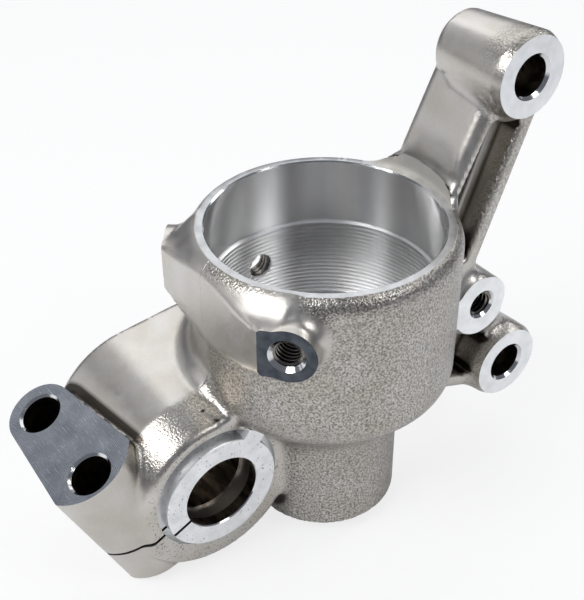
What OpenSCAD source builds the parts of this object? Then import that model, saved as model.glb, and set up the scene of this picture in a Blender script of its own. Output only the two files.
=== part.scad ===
// Axle bracket: the cast foot of a front fork leg, machined on its fits.
// Z is the axis of the fork tube socket, with its rim at Z = 0 and its mouth upwards.
// X runs along the wheel axle, and +Y points to the two caliper ears.

/* [Socket] */
// Diameter of the plain bore that takes the fork tube
socket_d = 48.4; // [47:0.1:50]
// Depth of the plain bore
socket_depth = 13.6; // [11:0.1:16]
// How far the crests of the fine thread stand in from the plain bore
thread_step = 0.7; // [0.4:0.05:1.2]
// Length of the fine thread
thread_len = 19.9; // [17:0.1:22]
// Turned relief between the thread and the floor of the socket
thread_relief = 1; // [0.5:0.1:2]
// Wall of the body round the socket
socket_wall = 3.6; // [3:0.1:5]
// How far the rim stands in from the body
rim_step = 1.8; // [1.2:0.1:2.2]
// Height of the rounded shoulder under the rim
shoulder_h = 3.5; // [2.5:0.1:4.5]
// Chamfer at the mouth of the socket
mouth_chamfer = 0.3; // [0.2:0.05:0.8]
// Distance of the tapped cross hole from the rim
cross_hole_drop = 24; // [19:0.5:28]

/* [Foot] */
// Diameter of the round foot
foot_d = 32.7; // [30:0.1:36]
// Straight length of the foot below the cone
foot_len = 24; // [18:0.5:30]
// Slope of the cone between body and foot, from level
cone_slope = 44; // [38:1:50]
// Bore up through the foot into the socket
foot_bore_d = 18; // [12:0.5:20]
// Rounding at the lower edge of the body
body_edge = 1.5; // [0.5:0.1:2]
// Chamfer round the end of the foot
foot_chamfer = 0.7; // [0.3:0.1:1.5]
// Fillet between the cone and the foot
foot_fillet = 3; // [1:0.1:5]
// Chamfer at the mouth of the foot's bore
foot_mouth = 0.5; // [0.2:0.05:1]

/* [Flange] */
// How far the flat front face stands out from the body
flange_proud = 0.6; // [0.3:0.1:2]
// Distance of the flange's top edge from the rim
flange_drop = 4; // [3:0.1:6]
// Height of the flat front face
flange_h = 12.5; // [11:0.1:15]
// Slope of the top and the underside of the flange
flange_slope = 27; // [20:1:35]
// Rounding of the flange's top edge
flange_edge = 1.2; // [0.5:0.1:2]
// Direction of the two radial bosses, from the X axis
boss_angle = 49.5; // [46:0.5:53]
// How far the boss faces stand out from the body
boss_reach = 4.6; // [4:0.1:6]
// Diameter of a radial boss
boss_d = 11.8; // [10:0.1:13]
// How much shorter the boss face is where it meets the flange, above and below
boss_edge = 0.6; // [0.2:0.1:1.2]
// Distance of the boss axes from the rim
boss_drop = 9.2; // [8:0.1:11]

/* [Screw threads] */
// Tapping bore of the guard screws
screw_bore_d = 5; // [4.2:0.1:5.6]
// Chamfer diameter at a tapped mouth
screw_mouth_d = 7; // [6.2:0.1:7.6]
// Depth of the tapped holes in the radial bosses
boss_screw_depth = 7; // [5:0.1:7.5]
// Depth of the tapped hole in the side boss
side_screw_depth = 14; // [8:0.5:18]

/* [Axle clamp] */
// Diameter of the wheel axle bore
axle_d = 17; // [14:0.1:19]
// Distance of the axle in front of the socket axis
axle_reach = 31.9; // [30:0.1:34]
// Distance of the axle below the rim
axle_drop = 50.5; // [48:0.1:53]
// Outside diameter of the barrel
barrel_d = 40; // [37:0.5:43]
// Width of the barrel between its cast flanks
barrel_w = 35.6; // [32:0.1:38]
// Distance of the barrel's middle plane from the socket axis
barrel_offset = 11.8; // [10:0.1:13]
// Rounding of the barrel's edges
barrel_edge = 1.2; // [0.5:0.1:2]
// Distance of the neck's roof from the rim
roof_drop = 29.2; // [27:0.1:31]
// Distance from the socket axis where the slope of that roof begins
neck_root = 20; // [16:0.5:22]
// Fillet between the roof and the body
neck_fillet = 5; // [3:0.1:7]
// How far that fillet sinks into what it joins
neck_sink = 0.5; // [0.3:0.05:0.8]
// Chamfer at the mouths of the axle bore
axle_mouth = 0.25; // [0.1:0.05:0.6]
// Diameter of the machined ring round the axle bore
ring_d = 26.3; // [24.5:0.1:27.5]
// How far the machined ring stands out from the flank
ring_proud = 1.8; // [1:0.1:3]
// Width of the turned groove round the ring
groove_w = 1.35; // [0.8:0.05:2]
// Depth of the groove below the flank
groove_depth = 1.4; // [0.5:0.1:2.5]
// Diameter of the relief inside the axle bore
relief_d = 18.6; // [17.5:0.1:20]
// Width of the relief
relief_w = 2.9; // [1.5:0.1:5]
// Distance of the relief from the ring's face
relief_in = 2.7; // [1.5:0.1:4]
// Direction of the locating nub, from the Y axis
nub_angle = 53; // [45:1:60]
// Width of the locating nub
nub_w = 4.6; // [3:0.1:6]

/* [Pinch lug] */
// Tilt of the slit from level
slit_tilt = 24.2; // [20:0.1:28]
// Width of the slit
slit_w = 1; // [0.6:0.1:2]
// Diameter of the pinch screw holes
pinch_d = 8.5; // [6.5:0.1:9]
// Distance between the pinch screw holes
pinch_pitch = 21.9; // [20:0.1:23]
// Distance of the pinch screws from the axle, along the slit
pinch_reach = 17.3; // [16.5:0.1:18.5]
// Height of the milled pad above the slit plane
pad_h = 22; // [20.5:0.1:24]
// Depth of the lug below the slit plane
lug_depth = 13; // [11:0.1:15]
// Radius of the lug's far end, round its pinch screw
lug_far_r = 7.2; // [6:0.1:8]
// Radius of the lug's near end
lug_near_r = 11; // [9.5:0.1:13]
// Distance of the lug's near end from the barrel's middle plane
lug_end = 16.4; // [14:0.1:17.5]
// How far the near rounding sits in from the line of the pinch screws
lug_near_in = 0.6; // [0:0.1:2]
// Taper of the lug's inner side
lug_inner_taper = 7.3; // [4:0.1:9]
// Taper of the lug's outer side
lug_outer_taper = 3.8; // [2:0.1:6]
// Chamfer at the mouths of the pinch holes
pinch_chamfer = 0.45; // [0.2:0.05:0.8]

/* [Caliper arms] */
// Bore of the caliper ears
ear_bore_d = 8.5; // [6.5:0.1:10]
// Chamfer at the mouths of those bores
ear_mouth = 0.5; // [0.2:0.05:1]
// Distance of the machined ear faces from the socket axis
ear_face = 13.5; // [12:0.1:16]
// Diameter of the machined ear face
ear_face_d = 17.1; // [15:0.1:18]
// Largest diameter of an ear
ear_d = 18.6; // [17:0.1:20]
// Diameter of an ear at its far end
ear_far_d = 15.3; // [14:0.1:17]
// Bevel round the far end of an ear
ear_far_edge = 1.5; // [0.5:0.1:2.5]
// Height of the cone between an ear's face and its largest diameter
ear_cone = 1.7; // [1:0.1:2.5]
// Place of the upper ear, along Y
upper_ear_y = 40; // [38:0.1:42]
// Place of the upper ear above the rim
upper_ear_z = 24.9; // [23:0.1:28]
// Place of the lower ear, along Y
lower_ear_y = 43.5; // [41:0.1:46]
// Distance of the lower ear below the rim
lower_ear_drop = 48.3; // [46:0.1:51]
// Distance of the arms' near side from the socket axis
arm_face = 10.7; // [9:0.1:12]
// Thickness of the arms along X
arm_w = 18.4; // [16:0.1:20]
// Web left between the pockets of an arm
arm_web = 5; // [3:0.1:8]
// Lean of the upper arm's front face from upright
front_lean = 27; // [24:0.5:30]
// Distance of that face from the axis of the upper ear
front_gap = 3.7; // [3:0.1:5]
// Clear space turned round the rim, where the arm passes over it
rim_clearance = 0.1; // [0.05:0.05:0.6]
// Bevel along both edges of that face
front_bevel = 1.4; // [0.5:0.1:2]
// Radius of the flare that runs out from the arm's foot over the rim
flare_r = 7.5; // [4:0.1:10]
// Thickness of the flare, out from the rim
flare_w = 1.2; // [0.8:0.1:1.4]
// Thickness of the upper arm's front rib
front_rib = 2.9; // [2:0.1:4]
// Thickness of the other ribs
arm_rib = 3.7; // [2.5:0.1:4.5]
// How far the outer edges of the arms pass outside the ears
arm_flare = 0.4; // [0:0.1:0.8]
// Clear wall between an ear's axis and the end of a pocket
ear_wall_r = 10.6; // [9.7:0.1:12]
// Height of the upper pocket's foot above the edge of the side boss
pocket_foot = 5.6; // [3:0.1:8]
// Direction in which the upper arm's outer edge leaves the side boss
upper_edge_angle = 106; // [90:1:120]
// Direction in which the lower arm's outer edge leaves the side boss
lower_edge_angle = 35; // [20:1:60]
// How much narrower the lower arm is than its ear, on its outer edge
lower_edge_in = 1.5; // [0.5:0.1:3]

/* [Side boss] */
// Diameter of the side boss
side_boss_d = 13.7; // [12:0.1:15]
// Distance of its face from the socket axis
side_boss_face = 12.8; // [11.5:0.1:15]
// Place of the side boss, along Y
side_boss_y = 33.8; // [32:0.1:36]
// Distance of the side boss below the rim
side_boss_drop = 27.8; // [26:0.1:30]

/* [Hidden] */
$fn = 96;
eps = 0.01;

// Length of a cut that runs out of the part, and how far joined forms run into each other
over = 1.5 * barrel_d;
bite = socket_wall / 4;

socket_r = socket_d / 2;
thread_r = socket_r - thread_step;
body_r = socket_r + socket_wall;
rim_r = body_r - rim_step;
floor_drop = socket_depth + thread_len + thread_relief;
foot_r = foot_d / 2;
cone_h = (body_r - foot_r) * tan(cone_slope);
foot_drop = floor_drop + cone_h + foot_len;

flange_y = body_r + flange_proud;
boss_face = body_r + boss_reach;

ring_r = ring_d / 2;
barrel_r = barrel_d / 2;
groove_r = ring_r + groove_w;
flank = barrel_w / 2;

upper_ear = [upper_ear_y, upper_ear_z];
lower_ear = [lower_ear_y, -lower_ear_drop];
side_boss = [side_boss_y, -side_boss_drop];
arm_back = arm_face - arm_w;

// Direction at an angle in a plane
function along(a) = [cos(a), sin(a)];

// Point where the line from p touches the circle of radius r about c; side is 1 or -1
function touch(p, c, r, side) =
    let (d = c - p, l = norm(d), a = atan2(d[1], d[0]) + side * asin(r / l))
    p + sqrt(l * l - r * r) * along(a);

// Point at height z on the line through p with direction d
function at_height(p, d, z) = p + d * (z - p[1]) / d[1];

// Places what is drawn in the YZ plane and makes it h long, from x towards +X
module slab(x, h) {
    translate([x, 0, 0])
        rotate([90, 0, 90])
            linear_extrude(h) children();
}

// A bar of radius r along Z from z to z + h, with rounded ends
module rounded_bar(r, h, edge) {
    rotate_extrude() {
        square([r - edge, h]);
        translate([0, edge]) square([r, h - 2 * edge]);
        translate([r - edge, edge]) circle(edge);
        translate([r - edge, h - edge]) circle(edge);
    }
}

// Tapped hole along -Z from its mouth at the origin
module screw_hole(depth) {
    mouth = (screw_mouth_d - screw_bore_d) / 2;
    translate([0, 0, -depth]) cylinder(h = depth + over, d = screw_bore_d);
    translate([0, 0, -mouth]) cylinder(h = mouth, d1 = screw_bore_d, d2 = screw_mouth_d);
    cylinder(h = over, d = screw_mouth_d);
}

// Half section of the body, cone and foot
module body_section() {
    shoulder_r = (rim_step * rim_step + shoulder_h * shoulder_h) / (2 * rim_step);
    edge_drop = body_edge * tan((90 - cone_slope) / 2);
    root = [foot_r, -floor_drop - cone_h];
    run = foot_fillet / tan((90 + cone_slope) / 2);
    high = root + run * along(cone_slope);
    low = root - [0, run];
    difference() {
        polygon([high, low, low - [bite, 0], high - [foot_fillet, 0]]);
        translate(low + [foot_fillet, 0]) circle(foot_fillet);
    }
    difference() {
        polygon([
            [0, 0],
            [body_r, 0],
            [body_r, -floor_drop],
            [foot_r, -floor_drop - cone_h],
            [foot_r, -foot_drop + foot_chamfer],
            [foot_r - foot_chamfer, -foot_drop],
            [0, -foot_drop]
        ]);
        difference() {
            translate([rim_r - 1, -shoulder_h]) square([over, over]);
            translate([body_r - shoulder_r, -shoulder_h]) circle(shoulder_r);
        }
        difference() {
            translate([body_r, -floor_drop])
                polygon([
                    [1, edge_drop],
                    [0, edge_drop],
                    -edge_drop * along(cone_slope),
                    [1, -edge_drop]
                ]);
            translate([body_r - body_edge, -floor_drop + edge_drop]) circle(body_edge);
        }
    }
}

module body() {
    rotate_extrude() body_section();
}

// Section of the flange across its length, with its sloping top and underside
module flange_section() {
    rise = tan(flange_slope);
    back = socket_r * cos(boss_angle);
    low = flange_drop + flange_h;
    polygon([
        [-flange_y, -flange_drop - flange_edge],
        [-flange_y + flange_edge, -flange_drop],
        [-back, -flange_drop + (flange_y - flange_edge - back) * rise],
        [-back, -low - (flange_y - back) * rise],
        [-flange_y, -low]
    ]);
    translate([-flange_y + flange_edge, -flange_drop - flange_edge]) circle(flange_edge);
}

// Where the flat face of the flange meets a boss face, and the root of that boss
corner_x = (boss_face - flange_y * sin(boss_angle)) / cos(boss_angle);
boss_root = (socket_r + bite) * along(-boss_angle);

module flange_plan() {
    polygon([
        [-corner_x, -flange_y],
        [corner_x, -flange_y],
        [boss_root[0], boss_root[1]],
        [-boss_root[0], boss_root[1]]
    ]);
}

// Plan of the solid between the flat face and the axis of a boss
module boss_plan() {
    polygon([
        [corner_x - bite, -flange_y + bite],
        [corner_x, -flange_y],
        boss_face * along(-boss_angle),
        boss_root
    ]);
}

// Places what is drawn with its mouth along +Z at the face of each radial boss
module at_bosses() {
    for (side = [0, 1])
        mirror([side, 0, 0])
            rotate([0, 0, -boss_angle])
                translate([boss_face, 0, -boss_drop])
                    rotate([0, 90, 0]) children();
}

module flange() {
    intersection() {
        slab(-over / 2, over) flange_section();
        translate([0, 0, -over]) linear_extrude(over) flange_plan();
    }
    for (side = [0, 1])
        mirror([side, 0, 0])
            translate([0, 0, -boss_drop - boss_d / 2 + boss_edge])
                linear_extrude(boss_d - 2 * boss_edge) boss_plan();
    at_bosses()
        translate([0, 0, socket_r - boss_face + eps])
            cylinder(h = boss_face - socket_r - eps, d = boss_d);
}

// Places what is drawn about the axle, with Z along it, in the barrel's middle plane
module at_axle() {
    translate([-barrel_offset, -axle_reach, -axle_drop])
        rotate([90, 0, 90]) children();
}

// Places what is drawn on the slit: X along the axle, Y away from the lug, Z up from the slit
module at_slit() {
    translate([-barrel_offset, -axle_reach, -axle_drop])
        rotate([slit_tilt, 0, 0]) children();
}

// Start, end and fall of the roof of the block that carries the barrel
neck_roof = [-neck_root, -roof_drop];
roof_end = touch(neck_roof, [-axle_reach, -axle_drop], barrel_r, -1);
roof_fall = atan2(neck_roof[1] - roof_end[1], neck_roof[0] - roof_end[0]);

// Section of that block, between the barrel and the foot
module neck_section() {
    centre = [-axle_reach, -axle_drop];
    root = [-foot_bore_d / 2 - bite, -axle_drop];
    polygon([
        roof_end,
        centre,
        root,
        [root[0], neck_roof[1]],
        neck_roof
    ]);
}

// Fillet that runs up from the neck's roof round the body
module neck_web() {
    x = body_r + neck_fillet - neck_sink;
    z = -roof_drop + neck_fillet - (x - neck_root) * tan(roof_fall) - neck_sink;
    intersection() {
        rotate_extrude()
            difference() {
                polygon([[socket_r + bite, z], [x, z], [x, z - neck_fillet - bite], [socket_r + bite, z - neck_fillet - bite]]);
                translate([x, z]) circle(neck_fillet);
            }
        slab(-barrel_offset - flank, barrel_w)
            polygon([[-2 * body_r, z - 2 * neck_fillet], [-foot_r, z - 2 * neck_fillet], [-foot_r, 0], [-2 * body_r, 0]]);
    }
}

module barrel() {
    at_axle() {
        translate([0, 0, -flank]) rounded_bar(barrel_r, barrel_w, barrel_edge);
        for (side = [0, 1])
            mirror([0, 0, side])
                cylinder(h = flank + ring_proud, r = ring_r);
    }
    slab(-barrel_offset - flank, barrel_w) neck_section();
    neck_web();
    at_axle()
        rotate([0, 0, nub_angle])
            translate([ring_r - bite, -nub_w / 2, 0])
                cube([groove_w + 2 * bite, nub_w, flank + ring_proud]);
}

// Outline of the pinch lug, seen square on to the slit
module lug_outline() {
    far = [-pinch_pitch / 2, -pinch_reach];
    inner = along(lug_inner_taper);
    outer = along(-lug_outer_taper);
    reach = pinch_pitch;
    inner_at = far + lug_far_r * along(90 + lug_inner_taper);
    outer_at = far + lug_far_r * along(-90 - lug_outer_taper);
    near_x = lug_end - lug_near_r;
    translate(far) circle(lug_far_r);
    intersection() {
        polygon([
            far,
            inner_at,
            inner_at + 2 * reach * inner,
            outer_at + 2 * reach * outer,
            outer_at
        ]);
        union() {
            translate([near_x, -pinch_reach + lug_near_in]) circle(lug_near_r);
            translate([far[0] - lug_far_r, -over / 2]) square([near_x - far[0] + lug_far_r, over]);
        }
    }
}

module pinch_lug() {
    at_slit()
        translate([0, 0, -lug_depth])
            linear_extrude(lug_depth + pad_h) lug_outline();
}

// An ear along X, tapering away from its machined face
module ear(place) {
    top = ear_face - ear_cone;
    translate([0, place[0], place[1]])
        rotate([0, 90, 0]) {
            translate([0, 0, arm_back]) cylinder(h = ear_far_edge, d1 = ear_far_d - 2 * ear_far_edge, d2 = ear_far_d);
            translate([0, 0, arm_back + ear_far_edge])
                cylinder(h = top - arm_back - ear_far_edge, d1 = ear_far_d, d2 = ear_d);
            translate([0, 0, top]) cylinder(h = ear_cone, d1 = ear_d, d2 = ear_face_d);
        }
}

// The two pockets of an arm, which leave the web between them
module pockets() {
    depth = (arm_w - arm_web) / 2;
    slab(arm_face - depth, over) children();
    slab(arm_back + depth - over, over) children();
}

// Direction of the upper arm's front face, and a point on it beside the ear
front_dir = along(90 - front_lean);
front_top = upper_ear + front_gap * along(180 - front_lean);
// Foot and top of the upper arm's outer edge
outer_foot = side_boss + side_boss_d / 2 * along(upper_edge_angle);
outer_top = touch(outer_foot, upper_ear, ear_d / 2 + arm_flare, -1);
outer_dir = (outer_top - outer_foot) / norm(outer_top - outer_foot);

// Outlines of the two arms and of the pockets in them, as seen along the axle
module upper_plate() {
    foot = at_height(front_top, front_dir, 0);
    polygon([
        outer_foot - bite * outer_dir,
        outer_top,
        upper_ear,
        front_top,
        foot,
        [foot[0], -side_boss_drop],
        side_boss
    ]);
}

module upper_pocket() {
    inner = front_top - front_rib * along(180 - front_lean);
    outer = outer_foot - [arm_rib, 0];
    foot_z = outer_foot[1] + pocket_foot;
    difference() {
        polygon([
            at_height(inner, front_dir, upper_ear[1]),
            at_height(inner, front_dir, 0),
            [rim_r - arm_rib, -shoulder_h],
            [rim_r - arm_rib, foot_z],
            at_height(outer, outer_dir, foot_z),
            at_height(outer, outer_dir, upper_ear[1])
        ]);
        translate(upper_ear) circle(ear_wall_r);
    }
}

// Corners of the lower arm
lower_top_foot = side_boss + side_boss_d / 2 * along(-lower_edge_angle);
lower_top_end = touch(lower_top_foot, lower_ear, ear_d / 2 - lower_edge_in, 1);
lower_top_dir = (lower_top_end - lower_top_foot) / norm(lower_top_end - lower_top_foot);
lower_low_foot = [foot_r - 2, -floor_drop - cone_h];
lower_low_end = touch(lower_low_foot, lower_ear, ear_far_d / 2, -1);
lower_low_dir = (lower_low_end - lower_low_foot) / norm(lower_low_end - lower_low_foot);

module lower_plate() {
    polygon([
        [lower_low_foot[0], -side_boss_drop],
        side_boss,
        lower_top_foot - bite * lower_top_dir,
        lower_top_end,
        lower_ear,
        lower_low_end,
        lower_low_foot
    ]);
}

module lower_pocket() {
    pocket_top = -side_boss_drop - side_boss_d / 2;
    low = lower_low_foot + [0, arm_rib / lower_low_dir[0]];
    difference() {
        polygon([
            low,
            [low[0], pocket_top],
            [side_boss_y - arm_rib, pocket_top],
            lower_ear + [-arm_rib, ear_far_d / 2],
            lower_ear,
            low + lower_low_dir * (lower_ear[0] - low[0])
        ]);
        translate(lower_ear) circle(ear_d / 2);
    }
}

// Bevels along the two edges of the upper arm's front face
module front_bevels() {
    for (far = [0, 1])
        translate([far == 1 ? arm_back : arm_face, front_top[0], front_top[1]])
            rotate([-front_lean, 0, 0])
                mirror([far, 0, 0])
                    rotate([0, 0, -45])
                        translate([-front_bevel / sqrt(2), -2 * front_bevel, -over])
                            cube([2 * front_bevel, 4 * front_bevel, 2 * over]);
}

// The arm's foot flares out over the rim on the far side
module flare() {
    x = arm_back - flare_r + front_bevel / 4;
    base = at_height(front_top, front_dir, -shoulder_h) + [front_bevel, 0];
    top = at_height(front_top, front_dir, flare_r) + [front_bevel, 0];
    intersection() {
        translate([0, 2 * body_r, 0])
            rotate([90, 0, 0])
                linear_extrude(2 * body_r)
                    difference() {
                        polygon([[x, -rim_step], [arm_back + bite, -rim_step], [arm_back + bite, flare_r], [x, flare_r]]);
                        translate([x, flare_r - front_bevel / 4]) circle(flare_r);
                    }
        translate([0, 0, -shoulder_h / 2])
            cylinder(h = flare_r + shoulder_h, r1 = rim_r + flare_w, r2 = rim_r + flare_w + flare_r / 2);
        slab(-over, 2 * over) polygon([base, top, top + [body_r, 0], base + [body_r, 0]]);
    }
}

module arms() {
    difference() {
        slab(arm_back, arm_w) {
            upper_plate();
            lower_plate();
        }
        pockets() upper_pocket();
        pockets() lower_pocket();
        front_bevels();
    }
    flare();
    ear(upper_ear);
    ear(lower_ear);
}

module side_boss() {
    translate([0, side_boss_y, -side_boss_drop])
        rotate([0, 90, 0])
            translate([0, 0, arm_back]) cylinder(h = side_boss_face - arm_back, d = side_boss_d);
}

// Everything that is bored into the socket
module socket_cuts() {
    translate([0, 0, -socket_depth]) cylinder(h = socket_depth + over, r = socket_r);
    translate([0, 0, -mouth_chamfer])
        cylinder(h = mouth_chamfer + eps, r1 = socket_r, r2 = socket_r + mouth_chamfer);
    translate([0, 0, -floor_drop]) cylinder(h = floor_drop, r = thread_r);
    translate([0, 0, -floor_drop]) cylinder(h = thread_relief, r = thread_r + thread_step / 2);
    translate([0, 0, -foot_drop - eps]) cylinder(h = foot_drop, d = foot_bore_d);
    translate([0, 0, -foot_drop - eps])
        cylinder(h = foot_mouth + eps, d1 = foot_bore_d + 2 * foot_mouth, d2 = foot_bore_d);
    translate([0, 0, -cross_hole_drop]) rotate([0, -90, 0]) cylinder(h = over, d = screw_bore_d);
    at_bosses() screw_hole(boss_screw_depth);
}

module axle_cuts() {
    at_axle() {
        cylinder(h = over, d = axle_d, center = true);
        for (side = [0, 1])
            mirror([0, 0, side])
                translate([0, 0, flank + ring_proud - axle_mouth])
                    cylinder(h = axle_mouth + eps, d1 = axle_d, d2 = axle_d + 2 * axle_mouth);
        translate([0, 0, flank + ring_proud - relief_in - relief_w]) cylinder(h = relief_w, d = relief_d);
        for (side = [0, 1])
            mirror([0, 0, side])
                difference() {
                    translate([0, 0, flank - groove_depth])
                        cylinder(h = groove_depth + eps, r = groove_r);
                    translate([0, 0, flank - groove_depth - eps])
                        cylinder(h = groove_depth + 3 * eps, r = ring_r);
                    rotate([0, 0, nub_angle])
                        translate([0, -nub_w / 2, 0])
                            cube([over, nub_w, over]);
                }
    }
    at_slit() {
        translate([-over / 2, -over, -slit_w / 2]) cube([over, over, slit_w]);
        for (side = [-1, 1])
            translate([side * pinch_pitch / 2, -pinch_reach, 0]) {
                cylinder(h = 2 * over, d = pinch_d, center = true);
                translate([0, 0, pad_h - pinch_chamfer])
                    cylinder(h = pinch_chamfer + eps, d1 = pinch_d, d2 = pinch_d + 2 * pinch_chamfer);
            }
    }
}

module arm_cuts() {
    cylinder(h = over, r = rim_r + rim_clearance);
    for (place = [upper_ear, lower_ear])
        translate([0, place[0], place[1]])
            rotate([0, 90, 0]) {
                cylinder(h = 2 * over, d = ear_bore_d, center = true);
                translate([0, 0, ear_face - ear_mouth])
                    cylinder(h = ear_mouth + eps, d1 = ear_bore_d, d2 = ear_bore_d + 2 * ear_mouth);
            }
    translate([side_boss_face, side_boss_y, -side_boss_drop])
        rotate([0, 90, 0]) screw_hole(side_screw_depth);
}

module axle_bracket() {
    color([0.72, 0.71, 0.69])
        difference() {
            union() {
                body();
                flange();
                barrel();
                pinch_lug();
                arms();
                side_boss();
            }
            socket_cuts();
            axle_cuts();
            arm_cuts();
        }
}

axle_bracket();
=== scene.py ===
import math

import bmesh
import bpy
import numpy as np
from mathutils import Matrix, Vector
from mathutils.bvhtree import BVHTree


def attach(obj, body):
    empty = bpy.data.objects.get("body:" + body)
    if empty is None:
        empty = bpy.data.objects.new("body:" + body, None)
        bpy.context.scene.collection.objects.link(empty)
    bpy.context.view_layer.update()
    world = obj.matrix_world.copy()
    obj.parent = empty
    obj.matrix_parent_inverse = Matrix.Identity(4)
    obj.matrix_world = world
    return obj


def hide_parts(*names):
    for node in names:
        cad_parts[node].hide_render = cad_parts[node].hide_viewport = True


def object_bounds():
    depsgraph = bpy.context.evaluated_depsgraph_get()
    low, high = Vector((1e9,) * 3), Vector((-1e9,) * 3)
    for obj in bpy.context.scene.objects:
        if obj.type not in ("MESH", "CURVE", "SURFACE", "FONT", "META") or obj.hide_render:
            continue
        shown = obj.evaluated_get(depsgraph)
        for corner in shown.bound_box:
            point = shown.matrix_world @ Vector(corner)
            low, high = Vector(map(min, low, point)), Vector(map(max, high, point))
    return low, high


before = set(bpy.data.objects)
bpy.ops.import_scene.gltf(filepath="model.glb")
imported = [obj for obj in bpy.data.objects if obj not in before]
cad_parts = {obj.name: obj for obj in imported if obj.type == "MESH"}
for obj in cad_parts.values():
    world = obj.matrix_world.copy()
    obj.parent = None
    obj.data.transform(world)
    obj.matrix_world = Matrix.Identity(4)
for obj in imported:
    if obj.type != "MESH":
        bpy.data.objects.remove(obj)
cad_low, cad_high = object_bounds()

# The round body that takes the fork tube: a wall with a rounded shoulder under the
# rim, a coned underside and a short foot. It is the core of one light alloy casting,
# so its roots are filleted. The shapes are distances in millimetres from the skin.
socket_r, body_r, rim_r, foot_r = 24.2, 27.8, 26.0, 16.35
floor_z, foot_z, cone_z = -34.5, -69.56, -45.56
shoulder_h, shoulder_r, shoulder_lean, shoulder_points = 3.5, 4.3, 0.25, 10
stock_h, foot_top = 4.0, -30.0
cone_edge, foot_edge, foot_root = 1.5, 0.7, 3.0
cone_turn = math.radians(44)


def outline(u, v, points):
    """Distance to a closed outline, less than nothing inside it."""
    best, inside = None, None
    for a, b in zip(points, points[1:] + points[:1]):
        ex, ey = b[0] - a[0], b[1] - a[1]
        wu, wv = u - a[0], v - a[1]
        t = np.clip((wu * ex + wv * ey) / (ex * ex + ey * ey), 0, 1)
        far = np.hypot(wu - ex * t, wv - ey * t)
        above, below, left = v >= a[1], v < b[1], ex * wv > ey * wu
        flip = (above & below & left) | (~above & ~below & ~left)
        best = far if best is None else np.minimum(best, far)
        inside = flip if inside is None else inside ^ flip
    return np.where(inside, -best, best)


def between(w, low, high):
    return np.maximum(low - w, w - high)


def bar(across, along, edge):
    """A straight bar from its distance across and along, with rounded ends."""
    a, b = across + edge, along + edge
    return np.minimum(np.maximum(a, b), 0) + np.hypot(np.maximum(a, 0), np.maximum(b, 0)) - edge


def fillet(a, b, r):
    """Joins two forms with a concave fillet."""
    return np.maximum(np.minimum(a, b), r) - np.hypot(np.maximum(r - a, 0), np.maximum(r - b, 0))


def round_over(a, b, r):
    """Keeps what two forms share, with the edge between them rounded."""
    return np.minimum(np.maximum(a, b), -r) + np.hypot(np.maximum(r + a, 0), np.maximum(r + b, 0))


def body(x, y, z):
    """The round body and its foot, with the stock that stands above the rim."""
    r = np.hypot(x, y)
    side = [(0.0, stock_h)]
    for step in range(shoulder_points):
        height = stock_h - step * (shoulder_h + stock_h) / (shoulder_points - 1)
        high = height + shoulder_h
        bulge = math.sqrt(max(shoulder_r**2 - min(high, shoulder_r) ** 2, 0))
        bulge -= shoulder_lean * max(high - shoulder_r, 0)
        side.append((body_r - shoulder_r + bulge, height))
    side += [(body_r, foot_z), (0.0, foot_z)]
    cone = (r - body_r) * math.sin(cone_turn) - (z - floor_z) * math.cos(cone_turn)
    hull = round_over(outline(r, z, side), cone, cone_edge)
    return fillet(hull, bar(r - foot_r, between(z, foot_z, foot_top), foot_edge), foot_root)


# The front flange and its two screw bosses, cast on the body. The flange is drafted
# to a narrow flat face, and slopes above and below turn its corners to the bosses,
# which stand out from it to the right and the left.
flange_y, flange_back, flange_top, flange_low = -28.4, -15.7, -4.0, -16.5
flange_draft = math.radians(27)
boss_turn, boss_face, boss_z, boss_r = math.radians(49.5), 32.4, -9.2, 5.9
bridge_in, bridge_root, bridge_half, bridge_y = 0.6, 25.2, 8.0, -22.0
past_boss, hip_edge, front_edge, corner_edge, boss_edge = 0.5, 0.6, 0.5, 2.0, 0.3


def inset(points, edge):
    """The outline drawn in by edge, so that rounding brings it back to size."""
    area = sum(a[0] * b[1] - b[0] * a[1] for a, b in zip(points, points[1:] + points[:1]))
    side = 1 if area > 0 else -1
    lines = []
    for a, b in zip(points, points[1:] + points[:1]):
        dx, dy = b[0] - a[0], b[1] - a[1]
        length = math.hypot(dx, dy)
        nx, ny = -dy / length * side, dx / length * side
        lines.append((nx, ny, nx * a[0] + ny * a[1] + edge))
    moved = []
    for (a1, b1, c1), (a2, b2, c2) in zip(lines[-1:] + lines[:-1], lines):
        det = a1 * b2 - a2 * b1
        moved.append(((c1 * b2 - c2 * b1) / det, (a1 * c2 - a2 * c1) / det))
    return moved


def plate(u, v, w, points, low, high, edge):
    """A plate with all its corners and edges rounded."""
    a = outline(u, v, inset(points, edge))
    b = between(w, low + edge, high - edge)
    return np.minimum(np.maximum(a, b), 0) + np.hypot(np.maximum(a, 0), np.maximum(b, 0)) - edge


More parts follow.
